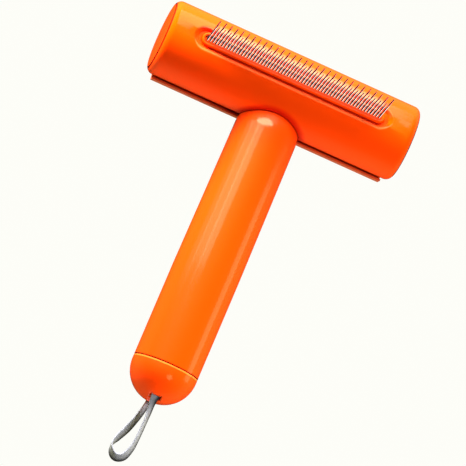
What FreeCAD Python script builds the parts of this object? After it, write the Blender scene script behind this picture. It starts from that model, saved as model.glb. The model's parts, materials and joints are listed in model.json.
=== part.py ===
import FreeCAD, Part
import math
import os
import Sketcher

# Deshedding tool: a T-shaped pet grooming comb with a round cross head, a hollow
# round handle, a screwed end cap and a ribbon wrist loop.
#
# Frame, millimetres: the handle axis is Y, the head is at +Y, the comb points up (+Z),
# the head axis is parallel to X. The origin is on the handle axis, near the middle of the
# straight part of the grip. Every piece is drawn from an origin on the head axis and is
# moved along Y by head_y.

Vector = FreeCAD.Vector
Rotation = FreeCAD.Rotation
Placement = FreeCAD.Placement

doc = FreeCAD.newDocument("DesheddingTool")

# ---------------------------------------------------------------- driving dimensions
# alias, value, note; y values are measured from the head axis
SIZES = [
    ("head_y", 106.0, "head axis to the origin on the grip"),
    ("head_len", 113.8, "overall length of the head"),
    ("head_rad", 16.7, "outer radius of the head tube"),
    ("head_round", 3.2, "rounding of the head ends"),
    ("head_bore", 13.9, "bore radius of the head tube"),
    ("lid_seat_rad", 14.95, "radius of the end lid seat"),
    ("lid_seat_deep", 2.4, "depth of the end lid seat"),
    ("lid_rad", 14.62, "radius of the end lid"),
    ("comb_tilt", 13.5, "tilt of the comb from +Z towards +Y"),
    ("recess_len", 88.2, "length of the comb recess"),
    ("recess_wide", 7.9, "width of the comb recess"),
    ("recess_floor", 15.0, "height of the recess floor above the head axis"),
    ("ring_len", 84.6, "length of the comb base ring"),
    ("ring_wide", 5.9, "width of the comb base ring"),
    ("ring_top", 16.35, "height of the ring above the head axis"),
    ("ring_wall", 1.25, "wall of the ring"),
    ("trough_floor", 15.3, "height of the trough floor"),
    ("flange_len", 96.0, "length of the comb base flange inside the head"),
    ("flange_wide", 10.0, "width of the flange"),
    ("flange_low", 10.9, "lower face of the flange"),
    ("flange_top", 12.9, "upper face of the flange"),
    ("pin_count", 61, "pins in the row"),
    ("pin_pitch", 1.326, "pin spacing"),
    ("pin_rad", 0.4, "pin radius"),
    ("pin_hole_rad", 0.42, "pin hole radius"),
    ("pin_long", 22.0, "free length of a long pin"),
    ("pin_short", 15.8, "free length of a short pin"),
    ("strip_thick", 0.78, "thickness of the backing strip"),
    ("strip_wide", 6.6, "width of the backing strip"),
    ("strip_len", 95.0, "length of the backing strip"),
    ("core_rad", 8.2, "radius of the core beam"),
    ("core_len", 102.0, "length of the core beam"),
    ("disc_rad", 13.84, "radius of the core locating discs"),
    ("disc_thick", 2.0, "thickness of the locating discs"),
    ("disc_inner_x", 24.0, "position of the inner discs"),
    ("screw_x", 45.5, "position of the comb screws"),
    ("screw_rad", 1.2, "comb screw shank radius"),
    ("screw_head_rad", 2.2, "comb screw head radius"),
    ("screw_head_tall", 1.8, "comb screw head height"),
    ("screw_seat", 3.0, "comb screw head seat height"),
    ("dome_y", -20.5, "centre of the handle dome"),
    ("dome_rad", 13.8, "radius of the handle dome"),
    ("socket_gap", 0.32, "gap between handle dome and head"),
    ("grip_rad", 14.4, "radius of the straight grip"),
    ("grip_start", -85.0, "start of the straight grip"),
    ("handle_end", -127.92, "end of the handle"),
    ("handle_bore", 11.3, "handle bore radius"),
    ("seal_bore", 12.45, "counterbore radius for the seal"),
    ("seal_deep", 1.3, "counterbore depth for the seal"),
    ("edge_chamfer", 0.22, "edge break at the cap seam"),
    ("bolt_rad", 2.0, "handle bolt shank radius"),
    ("bolt_hole", 2.2, "bolt clearance hole radius"),
    ("bolt_seat", -14.5, "bolt seat inside the dome"),
    ("insert_rad", 3.2, "radius of the threaded insert"),
    ("cap_top", -128.02, "shoulder of the end cap"),
    ("cap_dome_y", -129.7, "centre of the cap dome"),
    ("spigot_rad", 11.22, "radius of the cap spigot"),
    ("spigot_len", 13.0, "length of the cap spigot"),
    ("spigot_bore", 8.6, "bore radius of the spigot"),
    ("screw_pitch", 2.5, "pitch of the cap thread"),
    ("ridge_deep", 0.78, "depth of the thread ridge"),
    ("ridge_root", 1.3, "width of the ridge at its root"),
    ("ridge_crest", 0.6, "width of the ridge at its crest"),
    ("ridge_turns", 2.0, "turns of the ridge"),
    ("flank_gap", 0.09, "thread clearance"),
    ("eye_y", -139.5, "centre of the lanyard tunnel"),
    ("eye_rad", 7.2, "radius of the lanyard tunnel"),
    ("eye_tall", 2.2, "tunnel height"),
    ("eye_wide", 5.0, "tunnel width"),
    ("ribbon_wide", 4.2, "width of the ribbon"),
    ("ribbon_thick", 1.0, "thickness of the ribbon"),
    ("scraper_len", 106.0, "length of the rubber scraper"),
]


class Dim:
    """A number together with the spreadsheet expression that gives it."""

    def __init__(self, value, text):
        self.value = float(value)
        self.text = text

    def join(self, other, sign, value):
        return Dim(value, "(%s %s %s)" % (self.text, sign, other.text))

    def __add__(self, other):
        other = dim(other)
        return self.join(other, "+", self.value + other.value)

    def __sub__(self, other):
        other = dim(other)
        return self.join(other, "-", self.value - other.value)

    def __mul__(self, other):
        other = dim(other)
        return self.join(other, "*", self.value * other.value)

    def __truediv__(self, other):
        other = dim(other)
        return self.join(other, "/", self.value / other.value)

    def __radd__(self, other):
        return dim(other) + self

    def __rsub__(self, other):
        return dim(other) - self

    def __neg__(self):
        return dim(0) - self


def dim(number):
    return number if isinstance(number, Dim) else Dim(number, repr(float(number)))


def leg(longest, other):
    """Remaining side of a right triangle."""
    longest, other = dim(longest), dim(other)
    square = longest * longest - other * other
    return Dim(math.sqrt(square.value), "sqrt(%s)" % square.text)


class Sizes:
    """Fills the spreadsheet and holds each alias as a Dim attribute."""

    def __init__(self, rows):
        sheet = doc.addObject("Spreadsheet::Sheet", "Params")
        for row, (alias, value, note) in enumerate(rows, 1):
            sheet.set("A%d" % row, alias)
            sheet.set("B%d" % row, str(value))
            sheet.setAlias("B%d" % row, alias)
            sheet.set("C%d" % row, note)
        doc.recompute()
        for alias, _, _ in rows:
            setattr(self, alias, Dim(sheet.get(alias), "Params." + alias))


size = Sizes(SIZES)

# Derived values that several pieces share
half_head = size.head_len / 2
round_x = half_head - size.head_round  # centre of the end rounding, along the head
round_r = size.head_rad - size.head_round  # and its distance from the head axis
face_x = round_x + leg(size.head_round, size.lid_seat_rad - round_r)
lid_seat_x = face_x - size.lid_seat_deep
first_pin_x = -(size.pin_count - 1) * size.pin_pitch / 2
rail_top = size.flange_low - size.strip_thick - 0.04
bolt_shoulder = size.bolt_seat - 1.98
thread_start = size.handle_end + size.seal_deep - 1.9
tunnel_mid = size.eye_y + size.eye_rad

TILT = Rotation(Vector(1, 0, 0), -size.comb_tilt.value)
ALONG_X = Rotation(Vector(0, 1, 0), 90)
ALONG_Y = Rotation(Vector(1, 0, 0), -90)
AGAINST_Y = Rotation(Vector(1, 0, 0), 90)
SIDES = (-1, 1)


def bind(obj, prop, value):
    value = dim(value)
    setattr(obj, prop, value.value)
    obj.setExpression(prop, value.text)


def head_frame(rotation=Rotation()):
    return Placement(Vector(0, size.head_y.value, 0), rotation)


# ---------------------------------------------------------------- sketches
def new_body(label, rotation=Rotation()):
    body = doc.addObject("PartDesign::Body", label)
    body.Placement = head_frame(rotation)
    return body


def level(z, rotation=Rotation()):
    """Sketch offset to height z above the head axis; TILT gives the comb frame."""
    return Placement(rotation.multVec(Vector(0, 0, dim(z).value)), rotation)


def sketch(body, name, role="XY_Plane", offset=None):
    drawing = body.newObject("Sketcher::SketchObject", name)
    plane = next(f for f in body.Origin.OriginFeatures if f.Role == role)
    drawing.AttachmentSupport = [(plane, "")]
    drawing.MapMode = "FlatFace"
    if offset is not None:
        drawing.AttachmentOffset = offset
    return drawing


def constrain(drawing, kind, *args):
    """Add a constraint whose last argument is a driven dimension."""
    value = dim(args[-1])
    index = drawing.addConstraint(Sketcher.Constraint(kind, *args[:-1], value.value))
    drawing.setExpression("Constraints[%d]" % index, value.text)


def fix(drawing, geo, pos, x, y):
    """Hold a sketch point at x, y."""
    constrain(drawing, "DistanceX", -1, 1, geo, pos, x)
    constrain(drawing, "DistanceY", -1, 1, geo, pos, y)


def add_line(drawing, x0, y0, x1, y1, construction=False):
    start = Vector(dim(x0).value, dim(y0).value, 0)
    end = Vector(dim(x1).value, dim(y1).value, 0)
    return drawing.addGeometry(Part.LineSegment(start, end), construction)


def add_arc(drawing, x, y, radius, start, end):
    ring = Part.Circle(Vector(x.value, y.value, 0), Vector(0, 0, 1), radius.value)
    return drawing.addGeometry(Part.ArcOfCircle(ring, start, end), False)


def outline(drawing, points, arcs=None):
    """Closed outline; arcs[i] = (centre x, centre y, radius, ccw) bends segment i."""
    arcs = arcs or {}
    points = [(dim(x), dim(y)) for x, y in points]
    count = len(points)
    ends = []
    for i, (ax, ay) in enumerate(points):
        bx, by = points[(i + 1) % count]
        if i in arcs:
            cx, cy, radius = [dim(number) for number in arcs[i][:3]]
            ccw = arcs[i][3]
            start = math.atan2(ay.value - cy.value, ax.value - cx.value)
            end = math.atan2(by.value - cy.value, bx.value - cx.value)
            if not ccw:
                start, end = end, start
            if end <= start:
                end += 2 * math.pi
            geo = add_arc(drawing, cx, cy, radius, start, end)
            ends.append((geo, 1, 2) if ccw else (geo, 2, 1))
            constrain(drawing, "Radius", geo, radius)
        else:
            ends.append((add_line(drawing, ax, ay, bx, by), 1, 2))
    for i, (geo, _, last) in enumerate(ends):
        following, first, _ = ends[(i + 1) % count]
        drawing.addConstraint(Sketcher.Constraint("Coincident", geo, last, following, first))
    for (geo, first, _), (x, y) in zip(ends, points):
        fix(drawing, geo, first, x, y)


def rectangle(drawing, half_wide, low, high):
    """Rectangle centred on the sketch's y axis."""
    outline(drawing, [(-half_wide, low), (half_wide, low), (half_wide, high), (-half_wide, high)])


def stadium(drawing, length, wide):
    """Slot outline centred on the sketch origin, long side along x."""
    radius = dim(wide) / 2
    centre = dim(length) / 2 - radius
    quarter = math.pi / 2
    right = add_arc(drawing, centre, dim(0), radius, -quarter, quarter)
    left = add_arc(drawing, -centre, dim(0), radius, quarter, 3 * quarter)
    upper = add_line(drawing, centre, radius, -centre, radius)
    lower = add_line(drawing, -centre, -radius, centre, -radius)
    chain = (right, upper, left, lower)
    for i, geo in enumerate(chain):
        following = chain[(i + 1) % 4]
        drawing.addConstraint(Sketcher.Constraint("Coincident", geo, 2, following, 1))
    for geo, x in ((right, centre), (left, -centre)):
        fix(drawing, geo, 3, x, 0)
        constrain(drawing, "Radius", geo, radius)
        for end in (1, 2):
            drawing.addConstraint(Sketcher.Constraint("Vertical", geo, 3, geo, end))


def circle(drawing, x, y, radius):
    centre = Vector(dim(x).value, dim(y).value, 0)
    ring = Part.Circle(centre, Vector(0, 0, 1), dim(radius).value)
    geo = drawing.addGeometry(ring, False)
    fix(drawing, geo, 3, x, y)
    constrain(drawing, "Radius", geo, radius)


def screw_circles(drawing, radius):
    """One circle at each comb screw."""
    circle(drawing, size.screw_x, 0, radius)
    circle(drawing, -size.screw_x, 0, radius)


def tunnel_axis(drawing):
    """Construction line through the tunnel centre, used as Axis0."""
    geo = add_line(drawing, -1, size.eye_y, 1, size.eye_y, True)
    fix(drawing, geo, 1, -1, size.eye_y)
    fix(drawing, geo, 2, 1, size.eye_y)


# ---------------------------------------------------------------- PartDesign features
def feature(body, kind, name, profile, **props):
    """Add a feature and stop if it fails or does not change the solid."""
    before = body.Tip.Shape.Volume if body.Tip else 0.0
    result = body.newObject("PartDesign::" + kind, name)
    result.Profile = profile
    for key, value in props.items():
        if isinstance(value, Dim):
            bind(result, key, value)
        else:
            setattr(result, key, value)
    doc.recompute()
    change = result.Shape.Volume - before
    if kind in ("Pocket", "Groove", "SubtractiveHelix"):
        change = -change
    if "Invalid" in result.State or change <= 1e-6:
        raise RuntimeError("%s %s failed" % (body.Label, name))
    return result


def pad(body, name, profile, length, **props):
    return feature(body, "Pad", name, profile, Length=dim(length), **props)


def pocket(body, name, profile, depth, **props):
    """Pocket of fixed depth (Type 0), against the sketch normal unless Reversed."""
    return feature(body, "Pocket", name, profile, Type=0, Length=dim(depth), **props)


def turn(body, kind, name, profile, axis, **props):
    return feature(body, kind, name, profile, ReferenceAxis=(profile, [axis]), **props)


def dome_groove(body, sketch_name, name, radius):
    """Cut a ball out of the body, centred on the handle dome."""
    profile = sketch(body, sketch_name)
    bend = (0, size.dome_y, radius, True)
    points = [(0, size.dome_y - radius), (radius, size.dome_y), (0, size.dome_y + radius)]
    outline(profile, points, {0: bend, 1: bend})
    turn(body, "Groove", name, profile, "V_Axis")


def thread(body, kind, sketch_name, name, y, inner, outer, half_root, half_crest, turns):
    """Helix of a trapezoid that starts at y; half widths are along the handle axis."""
    profile = sketch(body, sketch_name)
    points = [
        (inner, y - half_root),
        (outer, y - half_crest),
        (outer, y + half_crest),
        (inner, y + half_root),
    ]
    outline(profile, points)
    # Mode 0 takes pitch, height and cone angle
    turn(body, kind, name, profile, "V_Axis", Mode=0, Pitch=size.screw_pitch,
         Height=size.screw_pitch * turns, Angle=0)


# ---------------------------------------------------------------- Part primitives
def put(obj, x, y, z, rotation):
    """Place an object; y is measured from the head axis."""
    place = {"x": dim(x), "y": size.head_y + y, "z": dim(z)}
    base = Vector(*(coordinate.value for coordinate in place.values()))
    obj.Placement = Placement(base, rotation)
    for axis, coordinate in place.items():
        obj.setExpression("Placement.Base." + axis, coordinate.text)
    return obj


def cylinder(name, radius, tall, x, y, z, rotation):
    obj = doc.addObject("Part::Cylinder", name)
    bind(obj, "Radius", radius)
    bind(obj, "Height", tall)
    return put(obj, x, y, z, rotation)


def axial(name, radius, tall, y, rotation=ALONG_Y):
    """Cylinder on the handle axis, starting at y."""
    return cylinder(name, radius, tall, 0, y, 0, rotation)


def box(name, length, wide, tall, x, y, z, rotation=Rotation()):
    obj = doc.addObject("Part::Box", name)
    bind(obj, "Length", length)
    bind(obj, "Width", wide)
    bind(obj, "Height", tall)
    return put(obj, x, y, z, rotation)


def dome_ball(name, radius):
    """Ball centred on the handle dome."""
    obj = doc.addObject("Part::Sphere", name)
    bind(obj, "Radius", radius)
    return put(obj, 0, size.dome_y, 0, Rotation())


def fuse(name, shapes):
    obj = doc.addObject("Part::MultiFuse", name)
    obj.Shapes = shapes
    obj.Refine = True
    return obj


def cut(name, base, tool):
    obj = doc.addObject("Part::Cut", name)
    obj.Base = base
    obj.Tool = tool
    obj.Refine = True
    return obj


def fixed_shape(name, shape, rotation=Rotation()):
    obj = doc.addObject("Part::Feature", name)
    obj.Shape = shape
    obj.Placement = head_frame(rotation)
    return obj


# ================================================================ head
def head_shell():
    window_gap = 0.16  # added to the length and the width of the ring
    body = new_body("head_shell")
    profile = sketch(body, "ShellProfile")
    points = [
        (-lid_seat_x, size.head_bore),
        (-lid_seat_x, size.lid_seat_rad),
        (-face_x, size.lid_seat_rad),
        (-round_x, size.head_rad),
        (round_x, size.head_rad),
        (face_x, size.lid_seat_rad),
        (lid_seat_x, size.lid_seat_rad),
        (lid_seat_x, size.head_bore),
    ]
    bends = {
        2: (-round_x, round_r, size.head_round, False),
        4: (round_x, round_r, size.head_round, False),
    }
    outline(profile, points, bends)
    turn(body, "Revolution", "ShellTube", profile, "H_Axis")

    # shallow slot-shaped recess round the comb
    profile = sketch(body, "RecessOutline", offset=level(size.recess_floor, TILT))
    stadium(profile, size.recess_len, size.recess_wide)
    pocket(body, "CombRecess", profile, 5, Reversed=True)
    # flaring cuts soften its edge: height above the floor, growth each side, taper angle
    eases = ((0.25, 0.0, 22.0), (0.55, 0.12, 42.0), (0.82, 0.36, 62.0))
    for k, (height, grow, taper) in enumerate(eases):
        offset = level(size.recess_floor + height, TILT)
        profile = sketch(body, "RecessSoft%d" % k, offset=offset)
        stadium(profile, size.recess_len + grow * 2, size.recess_wide + grow * 2)
        pocket(body, "RecessEase%d" % k, profile, 2.2, Reversed=True, TaperAngle=taper)

    # window that the comb ring stands in
    profile = sketch(body, "WindowOutline", offset=level(8, TILT))
    stadium(profile, size.ring_len + window_gap, size.ring_wide + window_gap)
    pocket(body, "CombWindow", profile, 12, Reversed=True)

    dome_groove(body, "SocketProfile", "HandleSocket", size.dome_rad + size.socket_gap)

    # driver holes for the comb screws, closed by the rubber scraper
    profile = sketch(body, "DriverHoles", offset=level(-8, TILT))
    screw_circles(profile, size.screw_head_rad + 0.5)
    pocket(body, "ScrewAccess", profile, 12)

    # slot for the anchor rib of the scraper
    profile = sketch(body, "ScraperSlot", offset=level(-10))
    stadium(profile, 78, 2.6)
    pocket(body, "ScraperAnchor", profile, 10)
    return body


def end_lid(label, side):
    """Lid at the -X (side -1) or +X (side 1) end of the head."""
    plug_deep = 2.8
    plug_wall = 1.7
    inner_x = lid_seat_x + 0.04
    hollow_x = inner_x + 0.3
    plug_rad = size.head_bore - 0.06
    body = new_body(label)
    profile = sketch(body, "LidProfile")
    points = [
        (half_head, 0),
        (half_head, round_r),
        (round_x + leg(size.head_round, size.lid_rad - round_r), size.lid_rad),
        (inner_x, size.lid_rad),
        (inner_x, plug_rad),
        (inner_x - plug_deep, plug_rad),
        (inner_x - plug_deep, plug_rad - plug_wall),
        (hollow_x, plug_rad - plug_wall),
        (hollow_x, 0),
    ]
    points = [(x * side, radius) for x, radius in points]
    outline(profile, points, {1: (round_x * side, round_r, size.head_round, side > 0)})
    turn(body, "Revolution", "LidTurned", profile, "H_Axis")
    return body


# ================================================================ comb
def comb_base():
    ring_sink = 0.5  # the ring starts this far inside the flange
    body = new_body("comb_base", TILT)
    profile = sketch(body, "FlangeOutline", offset=level(size.flange_low))
    stadium(profile, size.flange_len, size.flange_wide)
    pad(body, "Flange", profile, size.flange_top - size.flange_low)
    profile = sketch(body, "RingOutline", offset=level(size.flange_top - ring_sink))
    stadium(profile, size.ring_len, size.ring_wide)
    pad(body, "Ring", profile, size.ring_top - size.flange_top + ring_sink)
    profile = sketch(body, "TroughOutline", offset=level(size.trough_floor))
    walls = size.ring_wall * 2
    stadium(profile, size.ring_len - walls, size.ring_wide - walls)
    pocket(body, "Trough", profile, 4, Reversed=True)

    # round both edges of the ring's top face
    def on_top(edge):
        middle = edge.valueAt((edge.FirstParameter + edge.LastParameter) / 2)
        points = [vertex.Point for vertex in edge.Vertexes] + [middle]
        return all(abs(point.z - size.ring_top.value) < 1e-4 for point in points)

    base = body.Tip
    edges = ["Edge%d" % i for i, edge in enumerate(base.Shape.Edges, 1) if on_top(edge)]
    ring_round = body.newObject("PartDesign::Fillet", "RingRound")
    ring_round.Base = (base, edges)
    bind(ring_round, "Radius", 0.55)
    doc.recompute()

    profile = sketch(body, "PinHole", offset=level(size.flange_low))
    circle(profile, first_pin_x, 0, size.pin_hole_rad)
    hole = pocket(body, "FirstPinHole", profile, 6, Reversed=True)
    row = body.newObject("PartDesign::LinearPattern", "PinHoleRow")
    row.Originals = [hole]
    row.Direction = (profile, ["H_Axis"])
    bind(row, "Length", (size.pin_count - 1) * size.pin_pitch)
    row.Occurrences = int(size.pin_count.value)
    body.Tip = row
    doc.recompute()

    profile = sketch(body, "PilotHoles", offset=level(size.flange_low))
    screw_circles(profile, size.screw_rad + 0.03)
    pocket(body, "Pilots", profile, 1.6, Reversed=True)
    return body


def comb_pins(label, first_index, free_length):
    """Every second pin of the row, as one shape with a separate solid for each pin."""
    radius = size.pin_rad.value
    neck_rad = radius * 0.74
    low = size.flange_low.value + 0.03
    tip = size.trough_floor.value + free_length.value
    taper = tip - 5.0
    neck = tip - 0.25
    pin = Part.makeCylinder(radius, taper - low, Vector(0, 0, low))
    pin = pin.fuse(Part.makeCone(radius, neck_rad, neck - taper, Vector(0, 0, taper)))
    pin = pin.fuse(Part.makeCone(neck_rad, neck_rad * 0.5, tip - neck, Vector(0, 0, neck)))
    pin = pin.Solids[0]
    pins = []
    for i in range(first_index, int(size.pin_count.value), 2):
        copy = pin.copy()
        copy.translate(Vector(first_pin_x.value + i * size.pin_pitch.value, 0, 0))
        pins.append(copy)
    return fixed_shape(label, Part.makeCompound(pins), TILT)


def comb_backing_strip():
    body = new_body("comb_backing_strip", TILT)
    profile = sketch(body, "StripOutline", offset=level(size.flange_low - 0.02))
    stadium(profile, size.strip_len, size.strip_wide)
    screw_circles(profile, size.screw_rad + 0.15)
    pad(body, "Strip", profile, size.strip_thick, Reversed=True)
    return body


def head_core():
    """Beam with discs inside the head; it carries the comb and the handle insert."""
    rail_len = 96
    clear_len, clear_wide = 97.4, 18
    slot_len, slot_wide = 80, 6
    drill_low = 16  # the screw drillings start this far below the head axis

    beam = cylinder("CoreBeam", size.core_rad, size.core_len, -size.core_len / 2, 0, 0, ALONG_X)
    outer_x = size.core_len / 2 - size.disc_thick / 2
    centres = (-outer_x, -size.disc_inner_x, size.disc_inner_x, outer_x)
    discs = []
    for i, centre in enumerate(centres):
        x = centre - size.disc_thick / 2
        name = "CoreDisc%d" % i
        discs.append(cylinder(name, size.disc_rad, size.disc_thick, x, 0, 0, ALONG_X))
    corner = TILT.multVec(Vector(0, -size.strip_wide.value / 2, 0))
    rail = box("CoreRail", rail_len, size.strip_wide, rail_top,
               -rail_len / 2, corner.y, corner.z, TILT)
    boss = axial("CoreBoss", 9.2, 8.5, -3, AGAINST_Y)
    solid = fuse("CoreSolid", [beam, rail, boss] + discs)

    corner = TILT.multVec(Vector(0, -clear_wide / 2, rail_top.value))
    tools = [
        box("CoreClearTop", clear_len, clear_wide, 8, -clear_len / 2, corner.y, corner.z, TILT),
        dome_ball("CoreDomeSeat", size.dome_rad + 0.03),
        box("CoreAnchorSlot", slot_len, slot_wide, 5, -slot_len / 2, -slot_wide / 2, -16.6),
        axial("CoreInsertHole", size.insert_rad + 0.02, 16, 2.6, AGAINST_Y),
        axial("CoreBoltTip", size.bolt_hole, 4, 5, AGAINST_Y),
    ]
    low = TILT.multVec(Vector(0, 0, -drill_low))
    drillings = (
        ("CoreScrewSeat%d", size.screw_head_rad + 0.4, size.screw_seat + drill_low),
        ("CoreScrewHole%d", size.screw_rad + 0.15, 40),
    )
    for side in SIDES:
        for name, radius, tall in drillings:
            x = size.screw_x * side
            tools.append(cylinder(name % (side + 1), radius, tall, x, low.y, low.z, TILT))
    return cut("HeadCore", solid, fuse("CoreTools", tools))


def comb_screws():
    """Two screws with a cross recess in the lower face of the head."""
    shank_tall = 12.35 - size.screw_seat + size.screw_head_tall
    cross_len, cross_wide, cross_deep = 2.6, 0.6, 1.0
    bottom = size.screw_seat - size.screw_head_tall - 0.01
    low = TILT.multVec(Vector(0, 0, bottom.value))
    screws = []
    for side in SIDES:
        x = size.screw_x * side
        number = side + 1
        head = cylinder("ScrewHead%d" % number, size.screw_head_rad, size.screw_head_tall,
                        x, low.y, low.z, TILT)
        shank = cylinder("ScrewShank%d" % number, size.screw_rad, shank_tall,
                         x, low.y, low.z, TILT)
        bars = []
        for letter, length, wide in (("A", cross_len, cross_wide), ("B", cross_wide, cross_len)):
            bars.append(box("ScrewSlot%s%d" % (letter, number), length, wide, cross_deep,
                            x - length / 2, low.y - wide / 2, low.z, TILT))
        solid = fuse("ScrewSolid%d" % number, [head, shank])
        cross = fuse("ScrewCross%d" % number, bars)
        screws.append(cut("CombScrew%d" % number, solid, cross))
    pair = doc.addObject("Part::Compound", "CombScrews")
    pair.Links = screws
    return pair


# ================================================================ handle
def handle_shell():
    dome_bore = 9
    counterbore_y = size.handle_end + size.seal_deep
    body = new_body("handle_shell")
    profile = sketch(body, "HandleProfile")
    points = [
        (size.bolt_hole, size.bolt_seat),
        (size.bolt_hole, size.dome_y + leg(size.dome_rad, size.bolt_hole)),
        (size.dome_rad, size.dome_y),
        (size.grip_rad, size.grip_start),
        (size.grip_rad, size.handle_end + size.edge_chamfer),
        (size.grip_rad - size.edge_chamfer, size.handle_end),
        (size.seal_bore, size.handle_end),
        (size.seal_bore, counterbore_y),
        (size.handle_bore, counterbore_y),
        (size.handle_bore, size.dome_y - 4),
        (dome_bore, size.dome_y + 3),
        (dome_bore, size.bolt_seat),
    ]
    outline(profile, points, {1: (0, size.dome_y, size.dome_rad, False)})
    turn(body, "Revolution", "HandleTurned", profile, "V_Axis")
    # female thread for the end cap
    thread(
        body, "SubtractiveHelix", "GrooveProfile", "CapThreadGroove",
        y=thread_start,
        inner=size.handle_bore - 0.35,
        outer=size.spigot_rad + size.ridge_deep + 0.12,
        half_root=size.ridge_root / 2 + size.flank_gap + 0.15,
        half_crest=size.ridge_crest / 2 + size.flank_gap,
        turns=4.5,
    )
    return body


def handle_end_cap():
    spigot_end = size.cap_top + size.spigot_len
    spigot_chamfer = 0.6
    bore_floor = size.cap_top + 0.6
    body = new_body("handle_end_cap")
    profile = sketch(body, "CapProfile")
    points = [
        (0, size.cap_dome_y - size.grip_rad),
        (size.grip_rad, size.cap_dome_y),
        (size.grip_rad, size.cap_top - size.edge_chamfer),
        (size.grip_rad - size.edge_chamfer, size.cap_top),
        (size.spigot_rad, size.cap_top),
        (size.spigot_rad, spigot_end - spigot_chamfer),
        (size.spigot_rad - spigot_chamfer, spigot_end),
        (size.spigot_bore, spigot_end),
        (size.spigot_bore, bore_floor),
        (0, bore_floor),
    ]
    outline(profile, points, {0: (0, size.cap_dome_y, size.grip_rad, True)})
    turn(body, "Revolution", "CapTurned", profile, "V_Axis")
    # the ridge starts two whole pitches up the groove, so both helices are in phase
    thread(
        body, "AdditiveHelix", "RidgeProfile", "CapThreadRidge",
        y=thread_start + size.screw_pitch * 2,
        inner=size.spigot_rad - 0.3,
        outer=size.spigot_rad + size.ridge_deep,
        half_root=size.ridge_root / 2 + 0.13,
        half_crest=size.ridge_crest / 2,
        turns=size.ridge_turns,
    )
    # curved tunnel with two mouths and a bridge at the tip, for the wrist ribbon
    profile = sketch(body, "TunnelSection")
    low = tunnel_mid - size.eye_tall / 2
    rectangle(profile, size.eye_wide / 2, low, low + size.eye_tall)
    tunnel_axis(profile)
    turn(body, "Groove", "RibbonTunnel", profile, "Axis0", Angle=316.0, Midplane=True)
    return body


def cap_seal_ring():
    half_gap = (size.seal_bore - size.spigot_rad) / 2
    ring = doc.addObject("Part::Torus", "SealRing")
    bind(ring, "Radius1", (size.spigot_rad + size.seal_bore) / 2)
    bind(ring, "Radius2", half_gap - 0.05)
    return put(ring, 0, size.cap_top + half_gap + 0.02, 0, ALONG_Y)


# ================================================================ bolt, washers, insert
def bolt_washer():
    body = new_body("bolt_washer")
    # the normal of the XZ plane is -Y
    profile = sketch(body, "WasherProfile", "XZ_Plane", level(-(size.bolt_seat - 0.02)))
    circle(profile, 0, 0, 5.0)
    circle(profile, 0, 0, size.bolt_rad + 0.15)
    pad(body, "Washer", profile, 1.0)
    return body


def bolt_spring_washer():
    """Split washer under the bolt head."""
    split = 0.5
    tool_y = size.bolt_seat - 2.5
    outer = axial("SpringWasherOuter", 3.6, 0.9, size.bolt_seat - 1.96)
    inner = axial("SpringWasherInner", size.bolt_rad + 0.15, 2, tool_y)
    gap = box("SpringWasherSplit", split, 2, 5, -split / 2, tool_y, 0)
    return cut("SpringWasher", outer, fuse("SpringWasherTools", [inner, gap]))


def handle_bolt():
    head_tall = 3.2
    head_y = bolt_shoulder - head_tall
    shank = axial("BoltShank", size.bolt_rad, 15.2, bolt_shoulder - 0.5)
    head = axial("BoltHead", 3.5, head_tall, head_y)
    socket = doc.addObject("Part::Prism", "BoltHexSocket")
    socket.Polygon = 6
    bind(socket, "Circumradius", 1.73)
    bind(socket, "Height", 2.0)
    put(socket, 0, head_y, 0, ALONG_Y)
    return cut("HandleBolt", fuse("BoltSolid", [head, shank]), socket)


def threaded_insert():
    """Sleeve with two grooves round its outside."""
    groove_wide = 0.8
    outer = axial("InsertOuter", size.insert_rad, 8.2, 2.5, AGAINST_Y)
    grooves = []
    for i in range(2):
        y = 0.4 - 3.0 * i
        rim = axial("InsertGrooveOuter%d" % i, size.insert_rad + 0.1, groove_wide, y, AGAINST_Y)
        hub = axial("InsertGrooveInner%d" % i, size.insert_rad - 0.4, groove_wide, y, AGAINST_Y)
        grooves.append(cut("InsertGroove%d" % i, rim, hub))
    bore = axial("InsertBore", size.bolt_rad + 0.03, 10, 3, AGAINST_Y)
    return cut("ThreadedInsert", outer, fuse("InsertTools", [bore] + grooves))


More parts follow.
